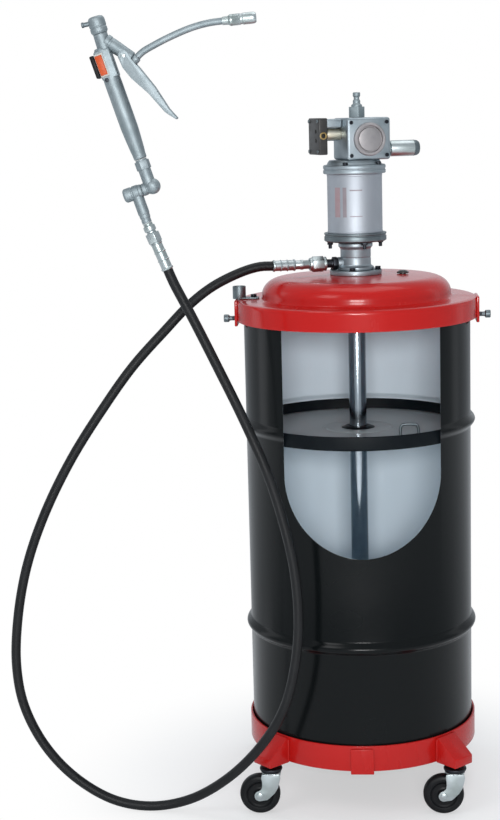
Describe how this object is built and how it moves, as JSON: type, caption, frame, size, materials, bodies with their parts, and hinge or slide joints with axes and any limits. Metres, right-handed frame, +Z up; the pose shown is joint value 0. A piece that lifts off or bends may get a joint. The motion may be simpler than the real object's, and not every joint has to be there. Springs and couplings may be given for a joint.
{
  "type": "air-operated drum oil pump with hose and control gun",
  "caption": "Air-operated oil pump on a cutaway steel drum with follower plate, clamped red cover, wheeled band dolly, black hose loop and control gun.",
  "frame": {"origin": "the drum's axis on the floor the casters stand on", "axes": "+Z up along the drum's axis, -Y towards the drum's cut-out window, -X towards the hose and gun"},
  "size_m": [0.7632, 0.4059, 1.2418],
  "materials": {
    "black_drum_paint": "satin gloss black",
    "red_enamel": "gloss",
    "cast_aluminium": "satin cast",
    "polished_steel": "polished",
    "zinc_plate": "zinc plated",
    "black_oxide_steel": "black oxide",
    "black_rubber": "matt",
    "hose_rubber": "satin",
    "grey_enamel": "satin",
    "dark_plastic": "satin",
    "satin_nickel": "satin nickel",
    "pale_brass": "pale turned",
    "orange_plastic": "satin"
  },
  "bodies": {
    "drum_and_dolly": {"drum_shell": "black_drum_paint", "drum_bottom": "black_drum_paint", "dolly_band": "red_enamel", "dolly_splice": "red_enamel", "caster_stem_1": "black_oxide_steel", "caster_stem_2": "black_oxide_steel", "caster_stem_3": "black_oxide_steel", "caster_stem_4": "black_oxide_steel"},
    "pump_unit": {"drum_cover": "red_enamel", "cover_gasket": "black_rubber", "cover_plug": "dark_plastic", "gun_holder": "zinc_plate", "holder_bolt": "black_oxide_steel", "pump_flange": "cast_aluminium", "pump_body": "cast_aluminium", "outlet_adapter": "black_oxide_steel", "pump_tube": "polished_steel", "foot_valve": "zinc_plate", "motor_base": "cast_aluminium", "motor_cylinder": "cast_aluminium", "motor_head": "cast_aluminium", "valve_block": "cast_aluminium", "valve_cap": "cast_aluminium", "valve_bracket": "cast_aluminium", "end_cover": "dark_plastic", "muffler": "zinc_plate", "air_nipple": "satin_nickel", "hose_nut": "zinc_plate", "hose_ferrule_pump": "zinc_plate", "hose": "hose_rubber", "hose_ferrule_gun": "zinc_plate"},
    "clamp_left": {"clamp_screw_left": "zinc_plate"},
    "clamp_right": {"clamp_screw_right": "zinc_plate"},
    "pump_piston": {"pump_rod": "polished_steel", "priming_plate": "zinc_plate", "air_piston": "cast_aluminium"},
    "spindle": {"valve_spindle": "pale_brass"},
    "follower": {"follower_plate": "grey_enamel", "follower_wiper": "black_rubber", "follower_gland": "black_rubber", "follower_handle": "zinc_plate"},
    "swivel": {"swivel_lower": "satin_nickel"},
    "gun": {"swivel_upper": "satin_nickel", "gun_handle": "satin_nickel", "gun_cap": "satin_nickel", "lever_pin": "zinc_plate", "lock_pad": "orange_plastic", "lock_block": "dark_plastic", "extension_tube": "satin_nickel", "coupler": "zinc_plate"},
    "trigger": {"gun_lever": "satin_nickel"},
    "caster_1": {"caster_fork_1": "zinc_plate"},
    "wheel_1": {"caster_wheel_1": "black_rubber"},
    "caster_2": {"caster_fork_2": "zinc_plate"},
    "wheel_2": {"caster_wheel_2": "black_rubber"},
    "caster_3": {"caster_fork_3": "zinc_plate"},
    "wheel_3": {"caster_wheel_3": "black_rubber"},
    "caster_4": {"caster_fork_4": "zinc_plate"},
    "wheel_4": {"caster_wheel_4": "black_rubber"}
  },
  "joints": [
    {"name": "cover_lift", "type": "slide", "parent": "drum_and_dolly", "child": "pump_unit", "axis": [0, 0, 1], "range_m": [0, 0.72]},
    {"name": "clamp_left_screw", "type": "slide", "parent": "pump_unit", "child": "clamp_left", "axis": [-1, 0, 0], "range_m": [0, 0.01]},
    {"name": "clamp_right_screw", "type": "slide", "parent": "pump_unit", "child": "clamp_right", "axis": [1, 0, 0], "range_m": [0, 0.01]},
    {"name": "pump_stroke", "type": "slide", "parent": "pump_unit", "child": "pump_piston", "axis": [0, 0, 1], "range_m": [0, 0.055]},
    {"name": "spindle_shift", "type": "slide", "parent": "pump_unit", "child": "spindle", "axis": [0.9397, 0.342, 0], "range_m": [-0.002, 0.002]},
    {"name": "follower_travel", "type": "slide", "parent": "drum_and_dolly", "child": "follower", "axis": [0, 0, 1], "range_m": [-0.385, 0.1]},
    {"name": "hose_swivel", "type": "hinge", "parent": "pump_unit", "child": "swivel", "pos_m": [-0.30348, -0.2, 0.94121], "axis": [-0.3746, 0, 0.9272], "continuous": true},
    {"name": "gun_swivel", "type": "hinge", "parent": "swivel", "child": "gun", "pos_m": [-0.308, -0.2, 0.99], "axis": [0.9511, 0, 0.309], "range_deg": [-70, 70]},
    {"name": "trigger", "type": "hinge", "parent": "gun", "child": "trigger", "pos_m": [-0.32867, -0.2, 1.18306], "axis": [0, 1, 0], "range_deg": [0, 18], "stiffness_Nm_per_rad": 0.5, "springref_deg": -20.05},
    {"name": "caster_1_swivel", "type": "hinge", "parent": "drum_and_dolly", "child": "caster_1", "pos_m": [0.14496, 0.14496, 0.0687], "axis": [0, 0, 1], "continuous": true},
    {"name": "wheel_1_spin", "type": "hinge", "parent": "caster_1", "child": "wheel_1", "pos_m": [0.12696, 0.14496, 0.032], "axis": [0, 1, 0], "continuous": true},
    {"name": "caster_2_swivel", "type": "hinge", "parent": "drum_and_dolly", "child": "caster_2", "pos_m": [-0.14496, 0.14496, 0.0687], "axis": [0, 0, 1], "continuous": true},
    {"name": "wheel_2_spin", "type": "hinge", "parent": "caster_2", "child": "wheel_2", "pos_m": [-0.16296, 0.14496, 0.032], "axis": [0, 1, 0], "continuous": true},
    {"name": "caster_3_swivel", "type": "hinge", "parent": "drum_and_dolly", "child": "caster_3", "pos_m": [-0.14496, -0.14496, 0.0687], "axis": [0, 0, 1], "continuous": true},
    {"name": "wheel_3_spin", "type": "hinge", "parent": "caster_3", "child": "wheel_3", "pos_m": [-0.16296, -0.14496, 0.032], "axis": [0, 1, 0], "continuous": true},
    {"name": "caster_4_swivel", "type": "hinge", "parent": "drum_and_dolly", "child": "caster_4", "pos_m": [0.14496, -0.14496, 0.0687], "axis": [0, 0, 1], "continuous": true},
    {"name": "wheel_4_spin", "type": "hinge", "parent": "caster_4", "child": "wheel_4", "pos_m": [0.12696, -0.14496, 0.032], "axis": [0, 1, 0], "continuous": true}
  ]
}
